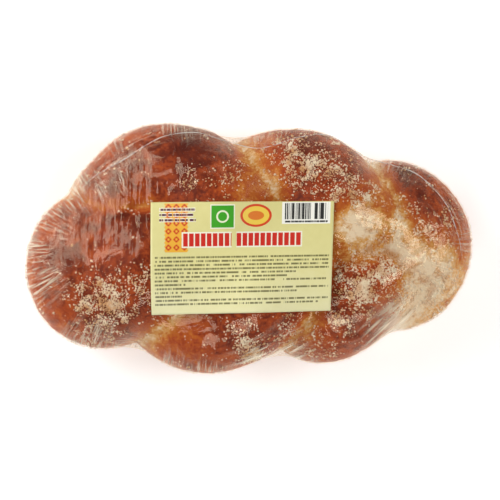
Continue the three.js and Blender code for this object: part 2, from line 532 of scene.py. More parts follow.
def crust_material(colours):
    """Egg-washed bread crust, oven-baked: dark and satin on the crowns, matt and pale where it stretched."""
    material, tree = new_material("egg_washed_bread_crust")
    place = add_node(tree, "ShaderNodeTexCoord").outputs["Object"]
    browning = add_node(tree, "ShaderNodeAttribute", {"attribute_name": "browning"}).outputs["Fac"]
    flour = add_node(tree, "ShaderNodeAttribute", {"attribute_name": "flour"}).outputs["Fac"]
    # Blotches 7 mm apart, where the wash lay thicker, break up the browning.
    blotches = add_node(
        tree, "ShaderNodeTexNoise", None,
        {"Vector": place, "Scale": 150.0, "Detail": 5.0, "Roughness": 0.62, "Distortion": 0.5},
    )
    # Pores and blisters 1.6 mm apart speckle the crust.
    pores = add_node(
        tree, "ShaderNodeTexNoise", None, {"Vector": place, "Scale": 620.0, "Detail": 4.0, "Roughness": 0.7}
    )
    spread = add_node(tree, MATH, MULTIPLY_ADD, (blotches, BLOTCH_STRENGTH, -BLOTCH_STRENGTH / 2))
    speckle = add_node(tree, MATH, MULTIPLY_ADD, (pores, PORE_STRENGTH, -PORE_STRENGTH / 2))
    toned = add_node(tree, MATH, ADD, (browning, spread))
    toned = add_node(tree, MATH, {"operation": "ADD", "use_clamp": True}, (toned, speckle))
    ramp = add_node(tree, "ShaderNodeValToRGB", None, (toned,))
    tones = (colours.pale, colours.golden, colours.amber, colours.crust, colours.crown, colours.burnt)
    set_ramp(ramp, [(stop, linear(tone)) for stop, tone in zip(BROWNING_STOPS, tones)])
    # Fine flour and sugar dust between the crumbs, its grains 0.7 mm apart.
    grains = add_node(
        tree, "ShaderNodeTexNoise", None, {"Vector": place, "Scale": 1500.0, "Detail": 2.0, "Roughness": 0.6}
    )
    dusting = add_node(tree, MATH, MULTIPLY_ADD, (flour, DUST_GAIN, -DUST_LEVEL))
    dusting = add_node(tree, MATH, ADD, (dusting, grains))
    dusting = add_node(
        tree, "ShaderNodeMapRange", None, {"Value": dusting, "From Min": 0.0, "From Max": 0.07, "To Max": 0.8}
    )
    colour = ink(tree, ramp, dusting, colours.crumb)
    gloss = add_node(
        tree, "ShaderNodeMapRange", None,
        {"Value": toned, "From Min": 0.2, "From Max": 0.8, "To Min": 0.68, "To Max": 0.48},
    )
    bump = add_node(tree, "ShaderNodeBump", None, {"Height": pores, "Strength": 0.35, "Distance": 0.6 * MM})
    shader = add_node(
        tree, "ShaderNodeBsdfPrincipled", None,
        {"Base Color": colour, "Roughness": gloss, "IOR": 1.45, "Specular IOR Level": 0.14, "Normal": bump},
    )
    add_node(tree, "ShaderNodeOutputMaterial", None, {"Surface": shader})
    return material


def crumb_material(colours):
    """Flour, butter and sugar crumbs, baked: pale and matt, toasted here and there."""
    material, tree = new_material("baked_butter_crumbs")
    place = add_node(tree, "ShaderNodeTexCoord").outputs["Object"]
    # Toasted patches 7 mm apart.
    toast = add_node(tree, "ShaderNodeTexNoise", None, {"Vector": place, "Scale": 150.0, "Detail": 4.0})
    ramp = add_node(tree, "ShaderNodeValToRGB", None, (toast,))
    set_ramp(ramp, [(0.38, linear(colours.crumb)), (0.62, linear(colours.toasted))])
    shader = add_node(
        tree, "ShaderNodeBsdfPrincipled", None, {"Base Color": ramp, "Roughness": 0.75, "IOR": 1.45}
    )
    add_node(tree, "ShaderNodeOutputMaterial", None, {"Surface": shader})
    return material


def film_material():
    """Polyolefin shrink film, blown and heat-shrunk: clear with a hard gloss, clouded white where it is
    puckered, with painted glints on its creases.
    """
    material, tree = new_material("heat_shrunk_clear_film")
    pucker, crest, streak, stretch, slack, mist = (
        add_node(tree, "ShaderNodeAttribute", {"attribute_name": name}).outputs["Fac"]
        for name in ("pucker", "crest", "streak", "stretch", "slack", "mist")
    )
    unwrapped = add_node(tree, "ShaderNodeTexCoord").outputs["UV"]
    place = add_node(tree, "ShaderNodeTexCoord").outputs["Object"]
    # Fine gathers 1 mm apart run up the film's sides, a little aslant; the film is about 700 mm round.
    gather = add_node(
        tree, "ShaderNodeMapping", None,
        {"Vector": unwrapped, "Rotation": (0.0, 0.0, 0.04), "Scale": (640.0, 9.0, 1.0)},
    )
    gather = add_node(
        tree, "ShaderNodeTexNoise", None,
        {"Vector": gather, "Scale": 1.0, "Detail": 2.0, "Roughness": 0.5, "Distortion": 0.5},
    )
    # Strain lines 2 mm apart run along the rim beside the notches.
    strain = add_node(
        tree, "ShaderNodeMapping", None,
        {"Vector": unwrapped, "Rotation": (0.0, 0.0, -0.5), "Scale": (16.0, 95.0, 1.0)},
    )
    strain = add_node(
        tree, "ShaderNodeTexNoise", None,
        {"Vector": strain, "Scale": 1.0, "Detail": 2.0, "Roughness": 0.5, "Distortion": 0.3},
    )
    # Stretch lines 2.4 mm apart and about 25 mm long sweep over the front notches.
    to_middle = (-ARC_MIDDLE[0] * MM, -ARC_MIDDLE[1] * MM, 0.0)
    centred = add_node(
        tree, "ShaderNodeMapping", None, {"Vector": place, "Location": to_middle, "Scale": (1.0, 1.0, 0.0)}
    )
    apart = add_node(tree, "ShaderNodeVectorMath", {"operation": "LENGTH"}, (centred,)).outputs["Value"]
    centred = add_node(tree, "ShaderNodeSeparateXYZ", None, (centred,))
    turn = add_node(tree, MATH, {"operation": "ARCTAN2"}, (centred.outputs["Y"], centred.outputs["X"]))
    arc = add_node(
        tree, "ShaderNodeCombineXYZ", None,
        (add_node(tree, MATH, MULTIPLY, (apart, 420.0)), add_node(tree, MATH, MULTIPLY, (turn, 8.0))),
    )
    arc = add_node(
        tree, "ShaderNodeTexNoise", None,
        {"Vector": arc, "Scale": 1.0, "Detail": 2.0, "Roughness": 0.5, "Distortion": 0.3},
    )
    # The film clings in soft facets about 20 mm wide between the crust's high places.
    facets = add_node(
        tree, "ShaderNodeTexNoise", None,
        {"Vector": place, "Scale": 55.0, "Detail": 2.0, "Roughness": 0.42, "Distortion": 1.0},
    )
    # Slack folds 3 mm apart lie mostly across the left end's shoulders.
    folds = add_node(
        tree, "ShaderNodeMapping", None,
        {"Vector": place, "Rotation": (0.0, 0.0, 0.3), "Scale": (330.0, 26.0, 26.0)},
    )
    folds = add_node(
        tree, "ShaderNodeTexNoise", None,
        {"Vector": folds, "Scale": 1.0, "Detail": 1.0, "Roughness": 0.4, "Distortion": 0.2},
    )
    folds = add_node(tree, MATH, MULTIPLY, (folds, slack))
    gathered = add_node(tree, MATH, ADD, (pucker, GATHER_EVERYWHERE))
    gathered = add_node(tree, MATH, MULTIPLY, (gather, gathered))
    strained = add_node(tree, MATH, MULTIPLY, (strain, streak))
    swept = add_node(tree, MATH, MULTIPLY, (arc, stretch))
    strained = add_node(tree, MATH, ADD, (strained, swept))
    # Each pattern dents the film that the ones before it have dented.
    dents = {"Strength": 1.0}
    for height, depth in ((gathered, 0.5), (strained, 0.9), (folds, 1.6), (facets, 1.8)):
        dents.update({"Height": height, "Distance": depth * MM})
        bump = add_node(tree, "ShaderNodeBump", None, dents)
        dents["Normal"] = bump
    # The film mirrors a little of what is round it, and nearly all of it at a glancing angle.
    facing = add_node(tree, "ShaderNodeLayerWeight", None, {"Blend": 0.5, "Normal": bump}).outputs["Facing"]
    glance = add_node(tree, MATH, {"operation": "POWER"}, (facing, 5.0))
    mirror = add_node(tree, MATH, MULTIPLY_ADD, (glance, MIRROR_AT_GLANCE, MIRROR_HEAD_ON))
    # Hair-thin white creases stand on the gathers, the strain lines and the stretch lines: partly film
    # whitened where it creased, and partly painted highlights that stand in for the glints on the creases.
    creases = ((gather, 0.50, 0.62, 0.46), (strain, 0.52, 0.66, 0.7), (arc, 0.50, 0.62, 0.8))
    hair, thread, sweep = (
        add_node(
            tree, "ShaderNodeMapRange", None,
            {"Value": lines, "From Min": low, "From Max": high, "To Max": most},
        )
        for lines, low, high, most in creases
    )
    faint = add_node(tree, MATH, MULTIPLY, (strain, MIST_MILK))
    ridge = add_node(tree, MATH, MULTIPLY, (pucker, crest))
    # This white holds the film's own haze and creased whitening, and the painted glints on its creases.
    milk_and_glints = MILK_EVERYWHERE
    for pair in ((mist, faint), (sweep, stretch), (thread, streak), (hair, pucker), (ridge, CREST_MILK)):
        milk_and_glints = add_node(tree, MATH, ADD, (milk_and_glints, add_node(tree, MATH, MULTIPLY, pair)))
    white = add_node(tree, MATH, ADD, (mirror, milk_and_glints))
    solid = add_node(tree, MATH, {"operation": "MINIMUM"}, (white, 1.0))
    metal = add_node(tree, MATH, DIVIDE, (mirror, white))
    shader = add_node(
        tree, "ShaderNodeBsdfPrincipled", None,
        {"Base Color": linear("#f0dfc2"), "Metallic": metal, "Roughness": 0.06, "Normal": bump},
    )
    clear = add_node(tree, "ShaderNodeBsdfTransparent")
    mix = add_node(tree, "ShaderNodeMixShader", None, (solid, clear, shader))
    add_node(tree, "ShaderNodeOutputMaterial", None, {"Surface": mix})
    return material


def seam_material():
    """Re-melted polyolefin bead from the hot wire: cloudy white and glossy."""
    material, tree = new_material("melted_film_weld")
    place = add_node(tree, "ShaderNodeTexCoord").outputs["Object"]
    # The bead clouds and clears every 6 mm.
    beads = add_node(tree, "ShaderNodeTexNoise", None, {"Vector": place, "Scale": 160.0, "Detail": 3.0})
    solid = add_node(
        tree, "ShaderNodeMapRange", None,
        {"Value": beads, "From Min": 0.35, "From Max": 0.7, "To Min": 0.1, "To Max": 0.7},
    )
    shader = add_node(
        tree, "ShaderNodeBsdfPrincipled", None, {"Base Color": linear("#efe9e2"), "Roughness": 0.25}
    )
    clear = add_node(tree, "ShaderNodeBsdfTransparent")
    mix = add_node(tree, "ShaderNodeMixShader", None, (solid, clear, shader))
    add_node(tree, "ShaderNodeOutputMaterial", None, {"Surface": mix})
    return material


def between(tree, value, low, high):
    """1 where the value lies between low and high, and 0 elsewhere."""
    return add_node(tree, MATH, {"operation": "COMPARE"}, (value, (low + high) / 2, (high - low) / 2))


def box_mask(tree, across, down, box):
    """1 inside the box (left, right, top, bottom), and 0 elsewhere."""
    return add_node(tree, MATH, MULTIPLY, (between(tree, across, *box[:2]), between(tree, down, *box[2:])))


def oval_mask(tree, across, down, oval):
    """1 inside the oval (middle across, middle down, half width, half height), and 0 elsewhere."""
    squares = []
    for value, middle, half in zip((across, down), oval[:2], oval[2:]):
        away = add_node(tree, MATH, DIVIDE, (add_node(tree, MATH, SUBTRACT, (value, middle)), half))
        squares.append(add_node(tree, MATH, MULTIPLY, (away, away)))
    return add_node(tree, MATH, LESS_THAN, (add_node(tree, MATH, ADD, squares), 1.0))


def cells(tree, value, start, pitch):
    """The number of the cell that a value lies in, and how far through the cell it is."""
    counted = add_node(tree, MATH, DIVIDE, (add_node(tree, MATH, SUBTRACT, (value, start)), pitch))
    return [add_node(tree, MATH, {"operation": part}, (counted,)) for part in ("FLOOR", "FRACT")]


def dashes(tree, across, down, box, pitch, weight):
    """Rows of broken dashes inside the box, as heavy as the weight says: 1 on the dashes, and 0 elsewhere."""
    line, in_line = cells(tree, down, box[2], pitch)
    half_height = 0.24 * weight
    mask = between(tree, in_line, 0.45 - half_height, 0.45 + half_height)
    # Short breaks and long ones: how many to a millimetre, their shift from row to row, and the inked share.
    for fineness, hop, inked in ((1.5, 7.3, 0.57), (0.33, 3.1, 0.64)):
        spot = [add_node(tree, MATH, MULTIPLY, pair) for pair in ((across, fineness), (line, hop))]
        spot = add_node(tree, "ShaderNodeCombineXYZ", None, spot)
        breaks = add_node(tree, "ShaderNodeTexNoise", None, {"Vector": spot, "Scale": 1.0, "Detail": 1.0})
        solid = add_node(tree, MATH, LESS_THAN, (breaks, inked + 0.04 * (weight - 1)))
        mask = add_node(tree, MATH, MULTIPLY, (mask, solid))
    return add_node(tree, MATH, MULTIPLY, (mask, box_mask(tree, across, down, box)))


def small_print(tree, across, down):
    """Rows of dashes that spell nothing, some of them short: 1 on the dashes, and 0 elsewhere."""
    box = (*TEXT_SIDES, TEXT_TOP, TEXT_TOP + TEXT_ROWS * TEXT_PITCH)
    text = dashes(tree, across, down, box, TEXT_PITCH, 1.0)
    line, _ = cells(tree, down, TEXT_TOP, TEXT_PITCH)
    for number, end in SHORT_LINES:
        beyond = add_node(tree, MATH, {"operation": "GREATER_THAN"}, (across, end))
        blank = add_node(tree, MATH, MULTIPLY, (between(tree, line, number - 0.5, number + 0.5), beyond))
        text = add_node(tree, MATH, MULTIPLY, (text, add_node(tree, MATH, SUBTRACT, (1.0, blank))))
    return text


def ribbon_masks(tree, across, down):
    """A ribbon with notched edges, and how far each place in it lies from its lozenge's middle, in cells."""
    edge = add_node(tree, MATH, {"operation": "PINGPONG"}, (down, RIBBON_NOTCH))
    edge = add_node(tree, MATH, MULTIPLY_ADD, (edge, 0.7, RIBBON_HALF))
    away = add_node(tree, MATH, SUBTRACT, (across, RIBBON_MIDDLE))
    away = add_node(tree, MATH, {"operation": "ABSOLUTE"}, (away,))
    ribbon = add_node(tree, MATH, LESS_THAN, (away, edge))
    ribbon = add_node(tree, MATH, MULTIPLY, (ribbon, between(tree, down, *RIBBON_ENDS)))
    steps = []
    for value, start in ((down, RIBBON_CELL_DOWN), (across, RIBBON_CELL_ACROSS)):
        _, in_cell = cells(tree, value, start, RIBBON_CELL)
        stepped = add_node(tree, MATH, {"operation": "SNAP"}, (in_cell, RIBBON_STEP))
        stepped = add_node(tree, MATH, SUBTRACT, (stepped, 0.5 - RIBBON_STEP / 2))
        steps.append(add_node(tree, MATH, {"operation": "ABSOLUTE"}, (stepped,)))
    return ribbon, add_node(tree, MATH, ADD, steps)


def label_material():
    """Coated label paper, offset-printed: cream-yellow and satin, printed with plain shapes and dashes."""
    material, tree = new_material("printed_label_paper")
    unwrapped = add_node(tree, "ShaderNodeTexCoord").outputs["UV"]
    split = add_node(tree, "ShaderNodeSeparateXYZ", None, (unwrapped,))
    # Millimetres from the label's top left corner.
    across = add_node(tree, MATH, MULTIPLY, (split.outputs["X"], LABEL_SIZE[0]))
    fallen = add_node(tree, MATH, SUBTRACT, (1.0, split.outputs["Y"]))
    down = add_node(tree, MATH, MULTIPLY, (fallen, LABEL_SIZE[1]))
    # Paper fibres cloud the colour every 4 mm, and it is paler towards the bottom.
    place = add_node(tree, "ShaderNodeTexCoord").outputs["Object"]
    fibre = add_node(tree, "ShaderNodeTexNoise", None, {"Vector": place, "Scale": 260.0, "Detail": 4.0})
    tint = add_node(tree, MATH, MULTIPLY_ADD, (fibre, FIBRE_STRENGTH, -FIBRE_STRENGTH / 2))
    tint = add_node(tree, MATH, ADD, (tint, fallen))
    ramp = add_node(tree, "ShaderNodeValToRGB", None, (tint,))
    set_ramp(ramp, [(0.0, linear("#ddd48c")), (0.5, linear("#e6de9a")), (1.0, linear("#efe9b4"))])
    text = add_node(tree, MATH, MULTIPLY, (small_print(tree, across, down), 0.85))
    colour = ink(tree, ramp, text, "#5f5a2c")
    ribbon, lozenge = ribbon_masks(tree, across, down)
    rings = add_node(tree, MATH, MULTIPLY, (ribbon, between(tree, lozenge, 0.18, 0.40)))
    colour = ink(tree, ink(tree, colour, ribbon, "#f0b43c"), rings, "#d2481e")
    for weight, tone in ((1.5, "#fbf3e0"), (0.9, "#5a2a3c")):
        colour = ink(tree, colour, dashes(tree, across, down, NOTE_BOX, 3.0, weight), tone)
    # A plain green square with a ring, a plain round seal, and the white field behind the stripes.
    for mask, outline, tone in (
        (box_mask, (34.4, 48.4, 1.6, 15.4), "#f4f1dc"),
        (box_mask, (35.0, 47.8, 2.2, 14.8), "#3fa322"),
        (oval_mask, (41.4, 8.5, 3.6, 3.6), "#eef2d0"),
        (oval_mask, (41.4, 8.5, 2.6, 2.6), "#3fa322"),
        (oval_mask, (60.5, 8.0, 9.0, 6.6), "#d8431c"),
        (oval_mask, (60.5, 8.0, 7.6, 5.3), "#f3cf4e"),
        (oval_mask, (60.5, 8.0, 4.6, 2.6), "#e07a26"),
        (box_mask, (75.4, 103.0, 0.4, 13.0), "#f8f6ea"),
    ):
        colour = ink(tree, colour, mask(tree, across, down, outline), tone)
    # Upright stripes that carry no number, with a row of dashes below.
    stripe, _ = cells(tree, across, 0.0, STRIPE_PITCH)
    stripes = add_node(tree, "ShaderNodeTexWhiteNoise", {"noise_dimensions": "1D"}, {"W": stripe})
    stripes = add_node(tree, MATH, {"operation": "GREATER_THAN"}, (stripes, 0.48))
    field = box_mask(tree, across, down, (77.0, 101.6, 1.0, 10.4))
    stripes = add_node(tree, MATH, MULTIPLY, (stripes, field))
    colour = ink(tree, colour, stripes, "#2b2a28")
    colour = ink(tree, colour, dashes(tree, across, down, (77.0, 101.6, 10.8, 12.8), 2.0, 1.1), "#3c3a36")
    # The heading: two rows of plain red blocks side by side, with a white edge.
    _, in_block = cells(tree, across, 18.6, BLOCK_PITCH)
    heading = add_node(tree, MATH, SUBTRACT, (1.0, between(tree, across, 46.6, 49.4)))
    blocks = add_node(tree, MATH, MULTIPLY, (heading, between(tree, in_block, 0.05, 0.82)))
    for inked, outline, tone in (
        (heading, (17.9, 87.2, 17.2, 26.2), "#f6f2dc"),
        (blocks, (18.6, 86.6, 18.0, 25.4), "#d02a1c"),
    ):
        inked = add_node(tree, MATH, MULTIPLY, (inked, box_mask(tree, across, down, outline)))
        colour = ink(tree, colour, inked, tone)
    shader = add_node(
        tree, "ShaderNodeBsdfPrincipled", None, {"Base Color": colour, "Roughness": 0.42, "IOR": 1.5}
    )
    add_node(tree, "ShaderNodeOutputMaterial", None, {"Surface": shader})
    return material


def floor_material():
    """Painted studio board: pale and matt."""
    material, tree = new_material("pale_studio_board")
    place = add_node(tree, "ShaderNodeTexCoord").outputs["Object"]
    roller = add_node(tree, "ShaderNodeTexNoise", None, {"Vector": place, "Scale": 6.0, "Detail": 2.0})
    ramp = add_node(tree, "ShaderNodeValToRGB", None, (roller,))
    set_ramp(ramp, [(0.0, linear("#f4f4f2")), (1.0, linear("#fafaf8"))])
    # The board is lit from beneath as well, so that it stays white round the loaf.
    shader = add_node(
        tree, "ShaderNodeBsdfPrincipled", None,
        {"Base Color": ramp, "Roughness": 0.9, "Emission Color": ramp, "Emission Strength": 0.42},
    )
    add_node(tree, "ShaderNodeOutputMaterial", None, {"Surface": shader})
    return material


def studio_tent():
    """A white tent round the table, open and dim at the top."""
    world = bpy.data.worlds.new("studio_tent")
    world.use_nodes = True
    tree = world.node_tree
    tree.nodes.clear()
    way = add_node(tree, "ShaderNodeTexCoord").outputs["Generated"]
    rise = add_node(tree, "ShaderNodeSeparateXYZ", None, (way,)).outputs["Z"]
    ramp = add_node(tree, "ShaderNodeValToRGB", None, (rise,))
    set_ramp(ramp, [(height, (light, light, light, 1.0)) for height, light in TENT_STOPS])
    light = add_node(tree, "ShaderNodeBackground", None, {"Color": ramp, "Strength": 1.0})
    add_node(tree, "ShaderNodeOutputWorld", None, {"Surface": light})
    return world


# ---------------------------------------------------------------- meshes


def read_vectors(items, name):
    """A vector of every vertex, face or normal of a mesh."""
    flat = np.empty(len(items) * 3)
    items.foreach_get(name, flat)
    return flat.reshape(-1, 3)


def set_attribute(mesh, name, values):
    layer = mesh.attributes.new(name, "FLOAT", "POINT")
    layer.data.foreach_set("value", values.astype(np.float32))


def finished_mesh(bm, name):
    """The mesh of a finished bmesh, which is freed."""
    mesh = bpy.data.meshes.new(name)
    bm.to_mesh(mesh)
    bm.free()
    return mesh


def new_object(name, mesh, materials, smooth=True):
    thing = bpy.data.objects.new(name, mesh)
    bpy.context.scene.collection.objects.link(thing)
    for material in materials:
        mesh.materials.append(material)
    if smooth:
        mesh.shade_smooth()
    return thing


def apply_modifiers(thing):
    """Leaves the object with its finished mesh and no live modifiers."""
    graph = bpy.context.evaluated_depsgraph_get()
    finished = bpy.data.meshes.new_from_object(thing.evaluated_get(graph))
    rough = thing.data
    thing.modifiers.clear()
    thing.data = finished
    bpy.data.meshes.remove(rough)


def surface_tree(mesh):
    mesh.calc_loop_triangles()
    corners = np.empty(len(mesh.loop_triangles) * 3, dtype=np.int32)
    mesh.loop_triangles.foreach_get("vertices", corners)
    places = read_vectors(mesh.vertices, "co")
    return BVHTree.FromPolygons(places.tolist(), corners.reshape(-1, 3).tolist())


def spline_at(stops, shares):
    """The stops' values, smoothly between them: share 0 is the first stop and 1 the last."""
    stops = np.asarray(stops, dtype=float)
    padded = np.vstack([2 * stops[0] - stops[1], stops, 2 * stops[-1] - stops[-2]])
    where = np.clip(shares, 0, 1) * (len(stops) - 1)
    first = np.minimum(where.astype(int), len(stops) - 2)
    t = (where - first)[:, None]
    a, b, c, d = (padded[first + step] for step in range(4))
    return 0.5 * (2 * b + (c - a) * t + (2 * a - 5 * b + 4 * c - d) * t**2 + (3 * b - a - 3 * c + d) * t**3)


def side_and_lift(ahead):
    """The level direction across a line and the one that stands up from it, where the line runs ahead."""
    ahead = ahead / (np.linalg.norm(ahead, axis=1)[:, None] + NO_LENGTH)
    side = np.cross([0.0, 0.0, 1.0], ahead)
    side /= np.linalg.norm(side, axis=1)[:, None]
    return side, np.cross(ahead, side)


def strand_frames(stops, shares):
    """Places, side and lift directions and half sizes along a strand, in metres."""
    values = spline_at(stops, shares) * MM
    ahead = (spline_at(stops, shares + SPLINE_STEP) - spline_at(stops, shares - SPLINE_STEP))[:, :3]
    return (values[:, :3], *side_and_lift(ahead), values[:, 3:5])


def tip_round(shares):
    return np.sqrt(1 - np.abs(2 * shares - 1) ** TIP_BLUNTNESS)


def lay_ball(bm, around, along, frames):
    """Lays a ball's rings along a line, so that its poles become the line's round tips.

    frames gives the places, side and lift directions and half sizes at the asked shares of the line.
    """
    made = bmesh.ops.create_uvsphere(bm, u_segments=around, v_segments=along, radius=1.0)["verts"]
    ball = np.array([vert.co for vert in made])
    shares = np.arccos(np.clip(ball[:, 2], -1, 1)) / math.pi
    shares = np.clip(shares, TIP_SHARE, 1 - TIP_SHARE)
    middle, side, lift, half = frames(shares)
    ring = np.hypot(ball[:, 0], ball[:, 1])[:, None] + NO_RADIUS
    half = half * tip_round(shares)[:, None]
    points = middle + side * (ball[:, :1] / ring * half[:, :1]) + lift * (ball[:, 1:2] / ring * half[:, 1:])
    for vert, point in zip(made, points):
        vert.co = point


def plait_mesh():
    bm = bmesh.new()
    for stops in STRANDS.values():
        lay_ball(bm, 36, 110, lambda shares: strand_frames(stops, shares))
    for _, middle, size in KNOBS:
        stretch = Matrix.LocRotScale(Vector(middle) * MM, None, Vector(size) * MM)
        bmesh.ops.create_uvsphere(bm, u_segments=64, v_segments=40, radius=0.5, matrix=stretch)
    bmesh.ops.recalc_face_normals(bm, faces=bm.faces)
    return finished_mesh(bm, "plait")


def layered_noise(points, size, octaves, seed=0.0):
    """Smooth noise between about -1 and 1, with bumps of the given size; a seed gives another pattern."""
    spots = (points + seed).tolist()
    return np.array([noise.fractal(Vector(spot) / size, NOISE_FALL, NOISE_STEP, octaves) for spot in spots])


def patch_shares(points, patches):
    """How much each patch gives to each point."""
    for along, across, reach, strength in patches:
        away = np.hypot(points[..., 0] / MM - along, points[..., 1] / MM - across) / reach
        yield strength * np.exp(-(away**2))


def patch_cover(points, patches):
    """How much each point lies in the patches, the most that any patch gives."""
    return np.maximum(0.0, np.max(list(patch_shares(points, patches)), axis=0))


def nearest_strands(points):
    """For each point and strand: how far off the strand's surface is, and how high its middle lies there."""
    gaps, heights = [], []
    shares = np.linspace(0.0, 1.0, STRAND_STATIONS)
    for name, stops in STRANDS.items():
        middle, side, lift, half = strand_frames(stops, np.clip(shares, TIP_SHARE, 1 - TIP_SHARE))
        half = half * tip_round(np.clip(shares, TIP_LEFT_OUT, 1 - TIP_LEFT_OUT))[:, None]
        gap = np.full(len(points), np.inf)
        height = np.zeros(len(points))
        for spot, across, up, size in zip(middle, side, lift, half):
            away = points - spot
            round_way = np.sqrt((away @ across / size[0]) ** 2 + (away @ up / size[1]) ** 2)
            ahead = away @ np.cross(across, up)
            reach = np.hypot(round_way - 1, ahead / size[0]) * size[0]
            reach = reach * np.where(round_way < 1, INSIDE_SHARE, 1)
            closer = reach < gap
            gap[closer] = reach[closer]
            height[closer] = spot[2]
        for owner, ball_middle, ball_size in KNOBS:
            if owner == name:
                away = (points - np.array(ball_middle) * MM) / (np.array(ball_size) * MM / 2)
                ball_gap = np.abs(np.linalg.norm(away, axis=1) - 1) * ball_size[0] * MM / 2
                closer = ball_gap < gap
                gap[closer] = ball_gap[closer]
                height[closer] = ball_middle[2] * MM * KNOB_LOWNESS
        gaps.append(gap)
        heights.append(height)
    return np.array(gaps), np.array(heights)


# ---------------------------------------------------------------- the loaf


def make_crust(sizes, colours):
    """The three strands and the knobs, grown together into one loaf."""
    crust = new_object("loaf_crust", plait_mesh(), [crust_material(colours)])
    remesh = crust.modifiers.new("grow together", "REMESH")
    remesh.mode = "VOXEL"
    remesh.voxel_size = sizes.voxel
    soften = crust.modifiers.new("soften grooves", "SMOOTH")
    soften.factor = 0.5
    soften.iterations = sizes.groove_softness
    apply_modifiers(crust)
    mesh = crust.data
    points, normals = read_vectors(mesh.vertices, "co"), read_vectors(mesh.vertex_normals, "vector")
    gaps, heights = nearest_strands(points)
    points = points + normals * crust_relief(points, sizes)[:, None]
    points[:, 2] = np.maximum(points[:, 2], 0.0)
    set_attribute(mesh, "browning", crust_browning(points, gaps, heights))
    flour = patch_cover(points, CRUMB_PATCHES) * smooth_step(0.15, 0.5, normals[:, 2])
    flour *= smooth_step(-0.25, 0.35, layered_noise(points, CLUMP_SIZE, 3, CLUMP_SEED))
    set_attribute(mesh, "flour", flour)
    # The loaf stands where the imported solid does.
    low, high = points.min(axis=0), points.max(axis=0)
    shift = np.array((LOAF_BOX[0] + LOAF_BOX[1]) / 2) - (low + high) / 2
    shift[2] = LOAF_BOX[0].z - low[2]
    mesh.vertices.foreach_set("co", (points + shift).ravel())
    mesh.update()
    mesh.shade_smooth()
    return crust


def crust_relief(points, sizes):
    """How far each place of the crust stands out: broad bulges, small folds and a leathery skin."""
    broad = layered_noise(points, BULGE_SIZE, 2)
    fine = layered_noise(points, FOLD_SIZE, 3, 3.1)
    wrinkle = layered_noise(points, WRINKLE_SIZE, 3, 7.7)
    return sizes.lumpiness * 0.5 * broad + FOLD_HEIGHT * fine + sizes.leather * wrinkle


def crust_browning(points, gaps, heights):
    """How brown the crust is, from 0 to 1: it browns with height, and stays pale by the grooves and the base.

    The strand that comes out from under another stays pale as well, where it stretched.
    """
    order = np.argsort(gaps, axis=0)
    rows = np.arange(len(points))
    own, other = order[0], order[1]
    groove_gap = gaps[other, rows]
    under = heights[other, rows] - heights[own, rows]
    rise = points[:, 2] / points[:, 2].max()
    browning = BROWNING_START + BROWNING_BY_HEIGHT * smooth_step(*BROWNING_RISE, rise)
    browning -= PALE_BY_GROOVE * (1 - smooth_step(*GROOVE_WIDTH, groove_gap))
    stretched = (1 - smooth_step(*STRETCH_WIDTH, groove_gap)) * smooth_step(*STRETCH_DEPTH, under)
    browning -= PALE_BY_STRETCH * stretched
    browning += sum(patch_shares(points, BROWNING_SPOTS)) * smooth_step(*SPOT_RISE, rise)
    browning += BROWNING_BY_MOTTLE * layered_noise(points, MOTTLE_SIZE, 3, 1.7)
    browning -= PALE_BY_BASE * (1 - smooth_step(*BASE_EDGE, points[:, 2]))
    return np.clip(browning, 0.0, 1.0)


def strew_crumbs(crust, sizes, colours):
    """Crumbs in ragged clusters sunk into the crust, thickest in the patches where the topping was strewn."""
    rng = np.random.default_rng(RNG_SEED)
    mesh = crust.data
    tree = surface_tree(mesh)
    centres, normals = read_vectors(mesh.polygons, "center"), read_vectors(mesh.polygons, "normal")
    clumps = layered_noise(centres, CLUMP_SIZE, 3, CLUMP_SEED)
    chance = patch_cover(centres, CRUMB_PATCHES) ** 1.5 * np.exp(CLUMP_CONTRAST * clumps) + STRAY_CHANCE
    chance *= smooth_step(0.05, 0.5, normals[:, 2])
    chosen = rng.choice(len(centres), size=sizes.crumbs, p=chance / chance.sum())
    members = np.minimum(rng.geometric(1 / CLUSTER_CRUMBS, sizes.crumbs), CLUSTER_MOST)
    chosen = np.repeat(chosen, members)[: HEAPS * HEAP_CRUMBS]
    spots = centres[chosen] + rng.normal(0.0, sizes.crumb_size * CLUSTER_SPREAD, (len(chosen), 3))
    widths = sizes.crumb_size * np.clip(rng.lognormal(0.0, CRUMB_SPREAD, len(chosen)), *CRUMB_LIMITS)
    topping = crumb_material(colours)
    return [
        heap_of_crumbs(f"crumb_topping_{number + 1}", topping, tree, spots[part], widths[part], rng)
        for number, part in enumerate(np.array_split(np.arange(len(chosen)), HEAPS))
    ]


def heap_of_crumbs(name, topping, tree, spots, widths, rng):
    """One piece that holds a crumb at each spot, seated on the crust."""
    heap = bmesh.new()
    for batch in np.array_split(np.arange(len(spots)), max(1, len(spots) // CRUMB_BATCH)):
        bm = bmesh.new()
        for index in batch:
            width = widths[index]
            spot, up, _, _ = tree.find_nearest(Vector(spots[index]))
            spot += up * width * rng.uniform(*CRUMB_SEAT)
            stretch = Vector(rng.uniform(*CRUMB_STRETCH, 3)) * width
            turn = Matrix.LocRotScale(spot, up.to_track_quat("Z", "Y"), stretch)
            made = bmesh.ops.create_icosphere(bm, subdivisions=1, radius=1.0, matrix=turn)
            for vert, push in zip(made["verts"], rng.uniform(*CRUMB_JAGS, len(made["verts"]))):
                vert.co = spot + (vert.co - spot) * push
        batch_mesh = finished_mesh(bm, "crumb_batch")
        heap.from_mesh(batch_mesh)
        bpy.data.meshes.remove(batch_mesh)
    return new_object(name, finished_mesh(heap, name), [topping])


# ---------------------------------------------------------------- the film


